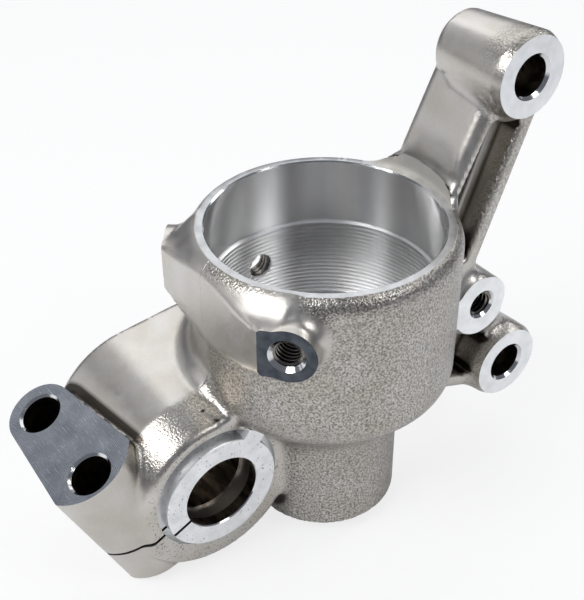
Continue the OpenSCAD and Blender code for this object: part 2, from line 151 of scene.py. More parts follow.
def flange(x, y, z):
    """The drafted front, the two bosses and the bridge that joins them to the body."""
    rise = math.tan(flange_draft)
    draft = (flange_back - flange_y) * rise
    upper, lower = (flange_back, flange_top + draft), (flange_back, flange_low - draft)
    front = outline(y, z, [(flange_y, flange_top), (flange_y, flange_low), lower, upper])
    side, out = math.sin(boss_turn), math.cos(boss_turn)
    end = boss_face + 1.0
    beside, along = np.abs(x) * side + y * out, np.abs(x) * out - y * side
    hip, slant = (boss_face - along) * rise, math.hypot(1, rise)
    front = round_over(front, (z - flange_top - hip) / slant, hip_edge)
    front = round_over(front, (boss_z - boss_r + bridge_in - hip - z) / slant, hip_edge)
    front = round_over(front, flange_y - y, front_edge)
    front = round_over(front, beside - past_boss, corner_edge)
    front = round_over(front, along - end, boss_edge)
    across = np.hypot(beside, z - boss_z)
    bosses = bar(across - boss_r, between(along, socket_r - 1, end), boss_edge)
    plan = [((end + flange_y * side) / out, flange_y), (end * out, -end * side)]
    plan += [(bridge_root * out, -bridge_root * side), (bridge_half, bridge_y), (bridge_half, flange_y)]
    low, high = boss_z - boss_r + bridge_in, boss_z + boss_r - bridge_in
    bridge = plate(np.abs(x), y, z, plan, low, high, front_edge)
    return np.minimum(front, np.minimum(bosses, bridge))


# The axle barrel, the neck that carries it on the body, and the pinch lug on its
# front. The mould parts along a ridge on the neck's roof, and from there the near side
# falls away to the flank; that fall fades out below the slit.
axle_y, axle_z, barrel_r = -31.9, -50.5, 20.0
barrel_lo, barrel_hi = -29.6, 6.0
roof, neck_back, neck_edge = (-20.0, -29.2), -8.0, 0.4
ridge_x, ridge_fall = -2.0, math.radians(24)
slit_turn = math.radians(24.2)
lug_x, lug_end, lug_low, lug_near_r, lug_far_r = -11.8, 16.4, -13.0, 11.0, 7.2
inner_flare, outer_flare, flare_run = 7.3, 3.8, 44
pinch_gap, pinch_in, pad_n, pad_stock, nose_in = 21.9, 17.3, 22.0, 2.5, 0.6
barrel_edge, lug_edge, lug_root = 1.2, 1.5, 1.6


def around(angle, r=1.0, at=(0.0, 0.0)):
    """A point at an angle in degrees and a distance from another."""
    return (at[0] + r * math.cos(math.radians(angle)), at[1] + r * math.sin(math.radians(angle)))


def tangent(p, c, r, side):
    """Where the line from p touches the circle of radius r about c."""
    dx, dy = c[0] - p[0], c[1] - p[1]
    length = math.hypot(dx, dy)
    turn = math.atan2(dy, dx) + side * math.asin(r / length)
    reach = math.sqrt(length * length - r * r)
    return (p[0] + reach * math.cos(turn), p[1] + reach * math.sin(turn))


def ease(value, start, end):
    """Goes softly from 0 at start to 1 at end."""
    t = np.clip((value - start) / (end - start), 0, 1)
    return t * t * (3 - 2 * t)


def from_slit(y, z):
    """Distances from the axle, in along the slit and square to it."""
    dy, dz = y - axle_y, z - axle_z
    cos, sin = math.cos(slit_turn), math.sin(slit_turn)
    return dy * cos + dz * sin, dz * cos - dy * sin


def axle_end(x, y, z):
    """The barrel on its neck, with the lug at its front."""
    q, n = from_slit(y, z)
    on_barrel = tangent(roof, (axle_y, axle_z), barrel_r, -1)
    section = [on_barrel, (axle_y, axle_z), (neck_back, axle_z), (neck_back, roof[1]), roof]
    neck = outline(y, z, inset(section, neck_edge)) - neck_edge
    drum = np.minimum(np.hypot(y - axle_y, z - axle_z) - barrel_r, neck)
    barrel = bar(drum, between(x, barrel_lo, barrel_hi), barrel_edge)
    fall = math.tan(ridge_fall) * ease(n, -5, 4)
    near_side = (drum + (x - ridge_x) * fall) / np.hypot(1, fall)
    barrel = round_over(barrel, near_side, 0.05 + ease(x, 1.0, 4.0))

    p = x - lug_x
    far = (-pinch_gap / 2, -pinch_in)
    inner, outer = around(90 + inner_flare, lug_far_r, far), around(-90 - outer_flare, lug_far_r, far)
    inner_end, outer_end = around(inner_flare, flare_run, inner), around(-outer_flare, flare_run, outer)
    sides = outline(p, q, [far, inner, inner_end, outer_end, outer])
    nose = np.hypot(p - lug_end + lug_near_r, q + pinch_in - nose_in) - lug_near_r
    nose = np.minimum(nose, between(p, far[0] - lug_far_r, lug_end - lug_near_r))
    lug = np.minimum(np.hypot(p - far[0], q - far[1]) - lug_far_r, np.maximum(sides, nose))
    lug = bar(lug, between(n, lug_low, pad_n + pad_stock), lug_edge)
    return fillet(barrel, lug, lug_root)


# The two caliper arms with their ears. Pockets on both flanks leave a thin web, and
# the ears taper away from the face that is machined. A boss for one more screw stands
# between the arms.
arm_lo, arm_hi, arm_rib, arm_web, arm_lean = -7.7, 10.7, 3.7, 5.0, 63
upper_ear, lower_ear, ear_x, ear_r, ear_back_r = (40.0, 24.9), (43.5, -48.3), 13.5, 9.3, 7.65
side_boss, side_boss_x, side_boss_r = (33.8, -27.8), 12.8, 6.85
near_bevel, bevel_edge, upper_edge, lower_edge, ear_edge = 2.3, 0.7, 1.5, 1.4, 0.8
pocket_front, pocket_back, pocket_foot, wall_gap = 2.9, 0.5, 5.6, 2.5
upper_corner, lower_corner, upper_clear = 1.6, 1.2, 10.6
lean = around(arm_lean)
front_top = around(arm_lean + 90, 4.5, upper_ear)
outer_foot = around(106, side_boss_r, side_boss)
outer_top = tangent(outer_foot, upper_ear, 9.7, -1)
top_foot = around(-35, side_boss_r, side_boss)
top_end = tangent(top_foot, lower_ear, 7.8, 1)
low_foot = (foot_r - 2, cone_z)
low_end = tangent(low_foot, lower_ear, ear_back_r, -1)


def level_with(point, way, height):
    """Where a line from a point comes to a height."""
    return (point[0] + way[0] * (height - point[1]) / way[1], height)


def arms(x, y, z):
    """Both arms as plates, and the ear at the end of each."""
    foot = level_with(front_top, lean, 0.0)
    side = [outer_foot, outer_top, upper_ear, front_top, foot, (foot[0], side_boss[1]), side_boss]
    upper = plate(y, z, x, side, arm_lo, arm_hi, upper_edge)
    turn = math.radians(arm_lean)
    ahead = (y - front_top[0]) * math.sin(turn) - (z - front_top[1]) * math.cos(turn)
    upper = round_over(upper, (x - arm_hi - ahead + near_bevel) / math.sqrt(2), bevel_edge)
    side = [(low_foot[0], side_boss[1]), side_boss, top_foot, top_end, lower_ear, low_end, low_foot]
    lower = plate(y, z, x, side, arm_lo, arm_hi, lower_edge)
    both = np.minimum(upper, lower)
    back = [(arm_lo, 0.0), (arm_lo, 6.2), (arm_lo + 1.5, ear_back_r)]
    half = inset(back + [(11.8, ear_r), (15.0, 8.0), (15.0, 0.0)], ear_edge)
    for place in (upper_ear, lower_ear):
        tip = np.hypot(y - place[0], z - place[1])
        ear = outline(x, tip, half) - ear_edge
        both = fillet(both, ear, 0.02 + 2.0 * ease(x, -4.5, -0.5))
    return both


def pocket(y, z, points, corner, ear, clear, edge):
    """The outline of one pocket, kept clear of the ear beside it."""
    off_ear = clear - np.hypot(y - ear[0], z - ear[1])
    return round_over(outline(y, z, inset(points, corner)) - corner, off_ear, edge)


def pockets(x, y, z):
    """The pockets of both arms, cut in from either flank down to the web."""
    inner = around(arm_lean + 90, -pocket_front, front_top)
    outer = (outer_foot[0] - arm_rib - pocket_back, outer_foot[1])
    way = (outer_top[0] - outer_foot[0], outer_top[1] - outer_foot[1])
    low, wall = outer_foot[1] + pocket_foot, rim_r - arm_rib + wall_gap
    points = [level_with(inner, lean, upper_ear[1]), level_with(inner, lean, 0.0), (wall, -shoulder_h)]
    points += [(wall, low), level_with(outer, way, low), level_with(outer, way, upper_ear[1])]
    upper = pocket(y, z, points, upper_corner, upper_ear, upper_clear, 1.5)
    way = (low_end[0] - low_foot[0], low_end[1] - low_foot[1])
    corner = (low_foot[0], low_foot[1] + math.hypot(*way) / way[0] * arm_rib)
    top = side_boss[1] - side_boss_r
    points = [corner, (corner[0], top), (side_boss[0] - arm_rib, top)]
    points += [(lower_ear[0] - arm_rib, lower_ear[1] + ear_back_r), lower_ear]
    points += [(lower_ear[0], corner[1] + way[1] * (lower_ear[0] - corner[0]) / way[0])]
    lower = pocket(y, z, points, lower_corner, lower_ear, ear_r, 1.0)
    r = np.hypot(x, y)
    depth = (arm_hi - arm_lo - arm_web) / 2
    cuts = []
    for hole, gap, edge in ((upper, 0.2, 1.5), (lower, 0.6, 1.2)):
        hole = np.maximum(hole, body_r + gap - r)
        near, far = bar(hole, arm_hi - depth - x, edge), bar(hole, x - arm_lo - depth, edge)
        cuts.append(np.minimum(near, far))
    return np.minimum(*cuts)


# The raw casting as it leaves the mould: all the forms above in one skin, with the
# fillets where they meet, wide behind the ridge and tighter before it. It still has
# the stock that the tools take off.
skin_low, skin_high, skin_cell = (-31.5, -67.5, -75.0), (30.5, 56.0, 37.5), 0.78
clear_gap, clear_z = 0.05, 1.8
flange_root, neck_root, arm_root, screw_root = 2.6, 5.0, 7.5, 4.5
neck_tight, arm_tight = 3.0, 4.5


def casting_skin(x, y, z):
    """Distance from the skin of the casting, in millimetres."""
    form = fillet(body(x, y, z), flange(x, y, z), flange_root + 0.9 * ease(z, -12, -6))
    form = round_over(form, flange_y - y, 0.3)
    form = fillet(form, axle_end(x, y, z), neck_root - neck_tight * ease(x, -2.5, 3.0))
    form = fillet(form, arms(x, y, z), arm_root - arm_tight * ease(x, -4.5, 0.5))
    form = round_over(form, -pockets(x, y, z), 1.0)
    clear = bar(np.hypot(x, y) - rim_r - clear_gap, clear_z - z, 0.1)
    form = round_over(form, -clear, 0.05 + 2.5 * ease(z, 2.0, 4.5))
    from_screw = np.hypot(y - side_boss[0], z - side_boss[1])
    screw = bar(from_screw - side_boss_r, between(x, arm_lo, side_boss_x + 1), 0.5)
    return fillet(form, screw, screw_root)


def slope_of(distance, points, step=0.02):
    """Which way the distance grows at each point."""
    shifts = step * np.eye(3)
    return np.stack([distance(*(points + s).T) - distance(*(points - s).T) for s in shifts], 1) / (2 * step)


def skin_of(distance, low, high, cell):
    """A closed mesh of quads on the skin, one vertex to each cell that it crosses."""
    axes = [np.arange(a, b, cell, dtype=np.float32) for a, b in zip(low, high)]
    x, y, z = axes[0][:, None, None], axes[1][None, :, None], axes[2][None, None, :]
    value = np.broadcast_to(distance(x, y, z), tuple(len(a) for a in axes)).astype(np.float32)
    inside = value < 0
    total = np.zeros([n - 1 for n in value.shape] + [3], np.float32)
    count = np.zeros([n - 1 for n in value.shape], np.float32)
    quads = []
    for axis in range(3):
        first = [slice(None)] * 3
        second = [slice(None)] * 3
        first[axis], second[axis] = slice(0, -1), slice(1, None)
        a, b = value[tuple(first)], value[tuple(second)]
        crossed = inside[tuple(first)] != inside[tuple(second)]
        place = np.argwhere(crossed)
        point = place.astype(np.float32)
        point[:, axis] += a[crossed] / (a[crossed] - b[crossed])
        others = [k for k in range(3) if k != axis]
        ring = []
        for du, dv in ((0, 0), (1, 0), (1, 1), (0, 1)):
            cell_at = place.copy()
            cell_at[:, others[0]] -= du
            cell_at[:, others[1]] -= dv
            np.add.at(total, tuple(cell_at.T), point)
            np.add.at(count, tuple(cell_at.T), 1)
            ring.append(cell_at)
        forward = inside[tuple(first)][crossed] ^ (axis == 1)
        ring = np.stack(ring, 1)
        ring[~forward] = ring[~forward][:, ::-1]
        quads.append(ring)
    used = count > 0
    number = np.full(count.shape, -1, np.int64)
    number[used] = np.arange(used.sum())
    verts = (total[used] / count[used][:, None]) * cell + np.array([a[0] for a in axes])
    quads = np.concatenate(quads)
    faces = number[quads[..., 0], quads[..., 1], quads[..., 2]]
    for _ in range(3):
        slope = slope_of(distance, verts)
        move = -(distance(*verts.T) / np.maximum((slope**2).sum(1), 0.25))[:, None] * slope
        verts = verts + np.clip(move, -0.4 * cell, 0.4 * cell)
    return verts, faces.tolist()


def piece_of(name, verts, faces):
    """A piece at the origin, with its place in its mesh; millimetres in, metres out."""
    mesh = bpy.data.meshes.new(name)
    mesh.from_pydata((np.asarray(verts) / 1000).tolist(), [], faces)
    mesh.update()
    piece = bpy.data.objects.new(name, mesh)
    bpy.context.scene.collection.objects.link(piece)
    return piece


casting = piece_of("axle_bracket_casting", *skin_of(casting_skin, skin_low, skin_high, skin_cell))

# The socket for the fork tube. The rim is faced flat, the plain bore is turned and
# keeps the fine rings of its tool, and the edge between them is broken. The foot is
# bored through from below, and a small hole crosses the wall at the thread.
foot_bore, cross_z, tap_r = 9.0, -24.0, 2.9
mouth_in, mouth_out, mouth_h, over = 0.3, 0.32, 0.6, 0.02
finishes, tools = {}, []
CENTRE, UP, RIGHT, LEFT = (0, 0, 0), (0, 0, 1), (1, 0, 0), (-1, 0, 0)


def outward(piece):
    """Turns the faces of a closed piece outwards."""
    mesh = bmesh.new()
    mesh.from_mesh(piece.data)
    bmesh.ops.recalc_face_normals(mesh, faces=mesh.faces)
    mesh.to_mesh(piece.data)
    mesh.free()
    return piece


def spun(name, points, at, way, sides=96):
    """A turned tool: a half section (radius, height) spun about a line, its faces numbered by band."""
    turn = Vector(way).to_track_quat("Z", "Y").to_matrix()
    verts, rings = [], []
    for radius, height in points:
        count = 1 if radius == 0 else sides
        rings.append(range(len(verts), len(verts) + count))
        for k in range(count):
            a = math.tau * k / sides
            point = Vector((radius * math.cos(a), radius * math.sin(a), height))
            verts.append(Vector(at) + turn @ point)
    faces, bands = [], []
    for band, (one, two) in enumerate(zip(rings, rings[1:] + rings[:1])):
        for k in range(sides):
            quad = [one[k % len(one)], one[(k + 1) % len(one)], two[(k + 1) % len(two)], two[k % len(two)]]
            quad = list(dict.fromkeys(quad))
            if len(quad) > 2:
                faces.append(quad)
                bands.append(band)
    piece = piece_of(name, [tuple(v) for v in verts], faces)
    piece.data.polygons.foreach_set("material_index", bands)
    return outward(piece)


def rod(name, r, low, high, at, way, sides=96):
    return spun(name, [(0, low), (r, low), (r, high), (0, high)], at, way, sides)


def work(tool, *finish, way="DIFFERENCE"):
    """Adds one machining step: the tool, and the finish that each of its bands leaves."""
    step = casting.modifiers.new(tool.name, "BOOLEAN")
    step.operation, step.solver, step.object = way, "MANIFOLD", tool
    tool.hide_render = True
    tools.append((tool, finish))


def metal(name, colour, rough, **values):
    """A bare metal finish, kept in the list by its name."""
    finish = bpy.data.materials.new(name)
    finish.use_nodes = True
    shader = finish.node_tree.nodes["Principled BSDF"]
    shader.inputs["Base Color"].default_value = (*colour, 1)
    shader.inputs["Metallic"].default_value = 1.0
    shader.inputs["Roughness"].default_value = rough
    for key, value in values.items():
        shader.inputs[key.replace("_", " ")].default_value = value
    finishes[name] = finish
    return finish.node_tree, shader


def add(tree, kind, *sources, **values):
    """Adds a node, with its first sockets linked and its values set by their names."""
    node = tree.nodes.new(kind)
    for key, value in values.items():
        if hasattr(node, key):
            setattr(node, key, value)
        else:
            node.inputs[key.replace("_", " ")].default_value = value
    for source, socket in zip(sources, node.inputs):
        if source is not None:
            tree.links.new(source, socket)
    return node


def own_space(tree, shift=(0, 0, 0), turn=(0, 0, 0), scale=(1, 1, 1)):
    """Object coordinates in millimetres, moved, turned and stretched for a pattern."""
    place = add(tree, "ShaderNodeTexCoord").outputs["Object"]
    to_mm = (1000, 1000, 1000)
    centre = add(tree, "ShaderNodeMapping", place, Location=[-s for s in shift], Scale=to_mm).outputs[0]
    return add(tree, "ShaderNodeMapping", centre, Rotation=turn, Scale=scale).outputs[0]


def noise(tree, place, size, detail=2.0):
    """A soft random pattern, its grains of a size in millimetres."""
    return add(tree, "ShaderNodeTexNoise", place, Scale=1 / size, Detail=detail).outputs["Fac"]


def ranged(tree, value, low, high, to_low=0.0, to_high=1.0):
    """Spreads the part of a value between low and high over a new range."""
    node = add(tree, "ShaderNodeMapRange", value)
    for socket, number in zip(node.inputs[1:5], (low, high, to_low, to_high)):
        socket.default_value = number
    return node.outputs[0]


def blend(tree, share, one, two):
    """A colour between two, each a socket or a plain colour."""
    node = add(tree, "ShaderNodeMix", data_type="RGBA")
    tree.links.new(share, node.inputs["Factor"])
    for colour, socket in ((one, node.inputs[6]), (two, node.inputs[7])):
        if isinstance(colour, tuple):
            socket.default_value = (*colour, 1)
        else:
            tree.links.new(colour, socket)
    return node.outputs[2]


def bumped(tree, shader, height, depth, strength=None):
    """Lays one more relief over those that the finish has, its depth in millimetres."""
    bump = add(tree, "ShaderNodeBump", Distance=depth / 1000, Strength=1.0)
    tree.links.new(height, bump.inputs["Height"])
    if strength is not None:
        tree.links.new(strength, bump.inputs["Strength"])
    for link in shader.inputs["Normal"].links:
        tree.links.new(link.from_socket, bump.inputs["Normal"])
    tree.links.new(bump.outputs["Normal"], shader.inputs["Normal"])


def round_z(tree):
    """The way round the socket's axis, which the turned bore is brushed along."""
    place = add(tree, "ShaderNodeTexCoord").outputs["Object"]
    cross = add(tree, "ShaderNodeVectorMath", operation="CROSS_PRODUCT")
    cross.inputs[0].default_value = (0, 0, 1)
    tree.links.new(place, cross.inputs[1])
    return cross.outputs[0]


def drift(tree, place, size, dark, light, low=0.35, high=0.65, detail=3.0):
    """A colour that drifts between a dark and a light one over the metal."""
    return blend(tree, ranged(tree, noise(tree, place, size, detail), low, high), dark, light)


def coloured(tree, shader, colour):
    tree.links.new(colour, shader.inputs["Base Color"])


def grey(level):
    return (level, level, level)


tree, shader = metal("faced", grey(0.92), 0.42)
coloured(tree, shader, drift(tree, own_space(tree), 3.0, grey(0.86), grey(0.97)))
bumped(tree, shader, noise(tree, own_space(tree), 0.35), 0.03)

tree, shader = metal("rim", grey(0.6), 0.38)
coloured(tree, shader, drift(tree, own_space(tree), 3.0, grey(0.52), grey(0.66)))
bumped(tree, shader, noise(tree, own_space(tree), 0.35), 0.02)

tree, shader = metal("clearance", (0.8, 0.77, 0.71), 0.6)
bumped(tree, shader, noise(tree, own_space(tree, scale=(0.05, 0.05, 3)), 1.0), 0.01)

tree, shader = metal("turned", (0.7, 0.69, 0.68), 0.24, Anisotropic=0.9, Anisotropic_Rotation=0.25)
rings = noise(tree, own_space(tree, scale=(0.02, 0.02, 3.0)), 1.0, 3.0)
upright = own_space(tree, scale=(1, 1, 0.02))
coloured(tree, shader, drift(tree, upright, 11.0, (0.76, 0.75, 0.74), grey(0.92), 0.36, 0.64, 1.0))
bumped(tree, shader, rings, 0.002)
tree.links.new(round_z(tree), shader.inputs["Tangent"])

# The drilled bores are painted dark brown as the shade inside the holes.
tree, shader = metal("drilled", (0.16, 0.14, 0.125), 0.3)
brown, tan = (0.09, 0.075, 0.06), (0.26, 0.22, 0.18)
coloured(tree, shader, drift(tree, own_space(tree), 2.2, brown, tan, 0.4, 0.62))
bumped(tree, shader, noise(tree, own_space(tree), 0.5), 0.03)

tree, shader = metal("broken edge", grey(0.7), 0.13)
bumped(tree, shader, noise(tree, own_space(tree), 0.4), 0.015)

work(rod("rim_pass", rim_r + 0.1, 0, 45, CENTRE, UP, 256), "rim", "clearance")
work(rod("socket_pass", socket_r, floor_z, 1, CENTRE, UP, 256), "faced", "turned")
work(rod("foot_pass", foot_bore, foot_z - 1, floor_z + 1, CENTRE, UP, 128), "drilled")
mouth = [(0, -mouth_h), (socket_r - mouth_in, -mouth_h), (socket_r + mouth_out, over), (0, over)]
work(spun("mouth_pass", mouth, CENTRE, UP, 256), "broken edge")
# The cross hole is painted near black with the slit's finish, as the shade inside it.
work(rod("cross_drill", tap_r, 23, 40, (0, 0, cross_z), LEFT, 64), "slit")

# The screw bosses. The face of each radial boss is spot faced, which leaves it smooth,
# with its dark colour a painted reflection, and that of the side boss is faced with the
# ears. All three are drilled for an M6 thread, with a countersink at the mouth.
boss_depth, boss_mouth_r, side_depth, side_mouth_r = 7.2, 3.7, 14.0, 3.5
hole_bands = ("drilled", "drilled", "broken edge")

# The dark blue-grey of the spot faces is a painted reflection.
tree, shader = metal("spot faced", (0.1, 0.11, 0.13), 0.22)
coloured(tree, shader, drift(tree, own_space(tree), 2.5, (0.05, 0.055, 0.066), (0.09, 0.098, 0.112)))
bumped(tree, shader, noise(tree, own_space(tree, scale=(1, 1, 0.3)), 0.3), 0.012)


def drilled(name, r, mouth_r, low, at, way):
    """A drill with the countersink that breaks the edge of its hole."""
    wide, top = mouth_r + over, 0.6
    section = [(0, low), (r, low), (r, r - mouth_r), (wide, over), (wide, top), (0, top)]
    return spun(name, section, at, way, 64)


def boss_way(side):
    """The way out along a radial boss, to the right for 1 and to the left for -1."""
    return (side * math.cos(boss_turn), -math.sin(boss_turn), 0)


def along_boss(way, reach):
    """The point on a radial boss's axis at a distance from the socket's axis."""
    return tuple(reach * c for c in way[:2]) + (boss_z,)


for side in (1, -1):
    way = boss_way(side)
    face = along_boss(way, boss_face)
    work(rod("boss_pass", 12, 0, 6, face, way), "spot faced")
    work(drilled("boss_drill", tap_r, boss_mouth_r, -boss_depth, face, way), *hole_bands)
side_face = (side_boss_x, *side_boss)
work(rod("side_boss_pass", 10, 0, 5, side_face, RIGHT), "faced")
work(drilled("side_boss_drill", tap_r, side_mouth_r, -side_depth, side_face, RIGHT), *hole_bands)

# The axle clamp. A groove is turned in both flanks and leaves a proud ring, with a
# nub that stands across the groove. The bore has a bright relief near its mouth, and
# the slit runs from it out through the lug, so that the screws can close it.
axle = (lug_x, axle_y, axle_z)
ring_r, ring_face, ring_edge, groove_r, groove_floor, groove_in = 13.16, 19.6, 0.15, 14.5, 16.4, 8
bore, bore_edge, bore_edge_h, tool_end = 8.5, 0.2, 0.25, 21
relief_r, relief_low, relief_high = 9.1, 13.0, 16.9
nub_turn, nub_low, nub_high, nub_half = math.radians(53), 11.0, 15.2, 2.3
slit_half = 0.38

tree, shader = metal("ring", grey(0.9), 0.42)
pits = ranged(tree, noise(tree, own_space(tree), 0.5, 1.0), 0.70, 0.73)
base = drift(tree, own_space(tree), 3.0, grey(0.82), grey(0.95))
coloured(tree, shader, blend(tree, pits, base, (0.3, 0.28, 0.26)))
bumped(tree, shader, noise(tree, own_space(tree), 0.35), 0.03)

tree, shader = metal("groove", grey(0.72), 0.34)
bumped(tree, shader, noise(tree, own_space(tree), 0.5), 0.12)

# The axle bore is painted dark brown as the shade inside it.
tree, shader = metal("axle bore", (0.2, 0.17, 0.15), 0.28)
brown, tan = (0.1, 0.085, 0.07), (0.36, 0.31, 0.26)
coloured(tree, shader, drift(tree, own_space(tree, scale=(0.4, 1, 1)), 2.0, brown, tan, 0.38, 0.62, 4.0))
bumped(tree, shader, noise(tree, own_space(tree), 0.6), 0.03)

tree, shader = metal("relief", (0.8, 0.79, 0.77), 0.32)
bumped(tree, shader, noise(tree, own_space(tree), 0.4), 0.02)

# The slit is painted near black as the shade in its narrow gap; the cross hole takes it too.
tree, shader = metal("slit", grey(0.08), 0.5)
bumped(tree, shader, noise(tree, own_space(tree), 0.3), 0.04)


def block(name, low, high, place):
    """A box between two corners, put in place by a matrix."""
    xs, ys, zs = zip(low, high)
    corners = [(x, y, z) for x in xs for y in ys for z in zs]
    faces = [(0, 1, 3, 2), (4, 6, 7, 5), (0, 4, 5, 1), (2, 3, 7, 6), (0, 2, 6, 4), (1, 5, 7, 3)]
    return outward(piece_of(name, [tuple(place @ Vector(c)) for c in corners], faces))


groove = [(groove_in, groove_floor), (groove_r, groove_floor), (groove_r, tool_end), (groove_in, tool_end)]
for way in (RIGHT, LEFT):
    work(spun("groove_pass", groove, axle, way, 192), "groove")
ring = [(0, -ring_face), (ring_r - ring_edge, -ring_face), (ring_r, -ring_face + ring_edge)]
ring += [(ring_r, ring_face - ring_edge), (ring_r - ring_edge, ring_face), (0, ring_face)]
work(spun("ring", ring, axle, RIGHT, 192), "ring", way="UNION")
nub_face, nub_place = ring_face - 0.02, Matrix.Translation(axle) @ Matrix.Rotation(nub_turn, 4, "X")
nub = block("nub", (-nub_face, nub_low, -nub_half), (nub_face, nub_high, nub_half), nub_place)
work(nub, "ring", way="UNION")
flare, mouth = bore + 1.7, bore + bore_edge
bore_section = [(0, -tool_end), (flare, -tool_end), (mouth, -ring_face), (bore, -ring_face + bore_edge_h)]
bore_section += [(bore, ring_face - bore_edge_h), (mouth, ring_face), (flare, tool_end), (0, tool_end)]
bore_bands = ("broken edge", "broken edge", "broken edge", "axle bore", "broken edge")
work(spun("axle_pass", bore_section, axle, RIGHT, 128), *bore_bands)
relief = [(0, relief_low), (relief_r, relief_low), (relief_r, relief_high), (0, relief_high)]
work(spun("relief_pass", relief, axle, RIGHT, 128), "axle bore", "relief", "axle bore")
tilt = Matrix.Translation(axle) @ Matrix.Rotation(slit_turn, 4, "X")
work(block("slit_pass", (-30, -40, -slit_half), (30, 0, slit_half), tilt), "slit")

# The pinch lug. Its top is milled flat with a fly cutter, whose long arcs show. The
# two holes for the pinch screws are drilled square to the slit, with a small
# countersink.
pinch_r, pinch_mouth_r, pinch_depth = 4.25, 4.75, 50
cutter_centre = (lug_x + 6, axle_y - 70, axle_z + 20)

# The pad's dark blue-grey base is a painted reflection; its lighter arcs and strokes are the cutter's
# marks.
tree, shader = metal("milled pad", (0.26, 0.28, 0.31), 0.26)
arcs = own_space(tree, shift=cutter_centre, turn=(-slit_turn, 0, 0))
wave = add(tree, "ShaderNodeTexWave", arcs, wave_type="RINGS", rings_direction="Z", Scale=0.9)
for socket, value in (("Distortion", 3.0), ("Detail", 3.0), ("Detail Scale", 0.6)):
    wave.inputs[socket].default_value = value
sweep = wave.outputs["Fac"]
stroke_turn = (-slit_turn, 0, math.radians(-20))
strokes = noise(tree, own_space(tree, turn=stroke_turn, scale=(0.4, 7.0, 1)), 1.0)
base = drift(tree, own_space(tree), 5.0, (0.30, 0.32, 0.355), (0.44, 0.46, 0.50), detail=2.0)
base = blend(tree, ranged(tree, sweep, 0.3, 1.0, 0.0, 0.3), base, (0.62, 0.64, 0.68))
base = blend(tree, ranged(tree, strokes, 0.60, 0.72, 0.0, 0.7), base, (0.75, 0.77, 0.8))
coloured(tree, shader, base)
bumped(tree, shader, sweep, 0.006)
bumped(tree, shader, strokes, 0.01)

work(block("pad_pass", (-24, -34, pad_n), (22, -6, pad_n + 8), tilt), "milled pad")
square = (0, -math.sin(slit_turn), math.cos(slit_turn))
for side in (1, -1):
    mouth = tuple(tilt @ Vector((side * pinch_gap / 2, -pinch_in, pad_n)))
    work(drilled("pinch_drill", pinch_r, pinch_mouth_r, -pinch_depth, mouth, square), *hole_bands)

# The caliper ears. Both are faced in one plane and bored for the screws, and the
# mouth of each bore has a bright countersink.
ear_bore, ear_mouth_r, ear_depth = 4.25, 4.9, 30
for place in (upper_ear, lower_ear):
    face = (ear_x, *place)
    work(rod("ear_pass", 13, 0, 4, face, RIGHT), "faced")
    work(drilled("ear_drill", ear_bore, ear_mouth_r, -ear_depth, face, RIGHT), *hole_bands)

# The cast skin, which is left wherever no tool has touched it. It is grey with a warm
# cast, coarse like orange peel on the round body and fine on the flats; it is dull in the
# pockets and roots, where its colour is painted dark brown as shade. A thin parting line runs up its front.
grain, seam_half = 0.42, 0.14

tree, shader = metal("cast skin", (0.4, 0.39, 0.37), 0.34)
place = own_space(tree)
where = add(tree, "ShaderNodeSeparateXYZ", place).outputs
coarse = add(tree, "ShaderNodeAttribute", attribute_name="coarse").outputs["Fac"]
painted_shade = add(tree, "ShaderNodeAttribute", attribute_name="painted_shade").outputs["Fac"]


def times(tree, one, two):
    return add(tree, "ShaderNodeMath", one, two, operation="MULTIPLY").outputs[0]


grains = noise(tree, place, grain, 1.0)
base = drift(tree, place, 8.0, (0.57, 0.53, 0.475), (0.64, 0.612, 0.572))
dents = times(tree, ranged(tree, grains, 0.66, 0.33, 0.0, 0.85), ranged(tree, coarse, 0, 1, 0.08, 1.0))
base = blend(tree, dents, base, (0.16, 0.145, 0.125))
pits = ranged(tree, grains, 0.62, 0.68, 0.0, 0.8)
pits = times(tree, pits, ranged(tree, where["X"], 5.3, 5.8))
on_barrel = times(tree, ranged(tree, where["Y"], -14, -16), ranged(tree, where["Z"], -29, -31))
base = blend(tree, times(tree, pits, on_barrel), base, (0.1, 0.085, 0.07))
# Painted shade: the more closed in the skin is, the darker brown its colour.
base = blend(tree, ranged(tree, painted_shade, 0.08, 0.6, 0.0, 0.97), base, (0.05, 0.042, 0.034))
coloured(tree, shader, base)
dull = ranged(tree, noise(tree, place, 2.0, 3.0), 0.35, 0.65, 0.30, 0.36)
tree.links.new(dull, shader.inputs["Roughness"])
bumped(tree, shader, grains, 0.17, ranged(tree, coarse, 0, 1, 0.06, 1.0))
seam = add(tree, "ShaderNodeMath", where["X"], operation="ADD")
seam.inputs[1].default_value = -ridge_x
seam = add(tree, "ShaderNodeMath", seam.outputs[0], operation="ABSOLUTE").outputs[0]
on_front = times(tree, ranged(tree, where["Y"], -18, -17, 1.0, 0.0), ranged(tree, where["Z"], -31, -29))
bumped(tree, shader, ranged(tree, seam, 0.0, seam_half, 1.0, 0.0), 0.1, on_front)


def settled(piece):
    """Turns what the modifiers make into the piece's own plain mesh."""
    made = bpy.data.meshes.new_from_object(piece.evaluated_get(bpy.context.evaluated_depsgraph_get()))
    piece.modifiers.clear()
    piece.data = made
    return made


worked = settled(casting)
names = ["cast skin"] + [name for name in finishes if name != "cast skin"]
worked.materials.clear()
for name in names:
    worked.materials.append(finishes[name])

